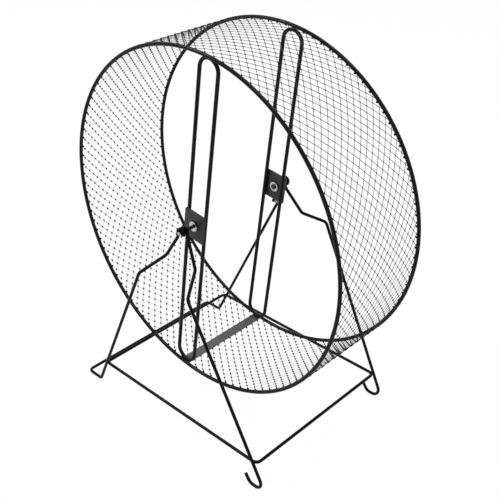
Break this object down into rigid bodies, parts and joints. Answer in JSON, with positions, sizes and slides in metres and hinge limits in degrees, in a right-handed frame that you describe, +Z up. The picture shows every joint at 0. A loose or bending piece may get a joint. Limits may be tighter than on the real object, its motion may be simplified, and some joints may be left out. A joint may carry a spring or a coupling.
{
  "type": "small animal running wheel",
  "caption": "Wire running wheel for a small pet: expanded metal band between wire hoops, turning on short axles in a stand of bent wire with hooked feet.",
  "frame": {"origin": "on the ground, straight below the middle of the axle", "axes": "+X across the wheel towards the hooked feet, +Y along the axle from the front to the rear, +Z up"},
  "size_m": [0.28, 0.1624, 0.3237],
  "materials": {
    "wire": "semi-gloss black",
    "band": "satin black",
    "sheet": "satin black",
    "bush": "black plated",
    "pin": "plated"
  },
  "bodies": {
    "stand": {"front_leg_wire": "wire", "rear_leg_wire": "wire", "ground_runner": "wire", "base_frame": "wire", "front_axle_pin": "pin", "rear_axle_pin": "pin"},
    "wheel": {"front_hoop": "wire", "rear_hoop": "wire", "running_mesh_bottom": "band", "running_mesh_left": "band", "running_mesh_top": "band", "running_mesh_right": "band", "seam_strap": "sheet", "front_crossbar": "wire", "rear_crossbar": "wire", "front_hub_plate": "sheet", "rear_hub_plate": "sheet", "front_hub_bush": "bush", "rear_hub_bush": "bush"}
  },
  "joints": [
    {"name": "wheel_spin", "type": "hinge", "parent": "stand", "child": "wheel", "pos_m": [0, 0, 0.1837], "axis": [0, 1, 0], "continuous": true}
  ]
}
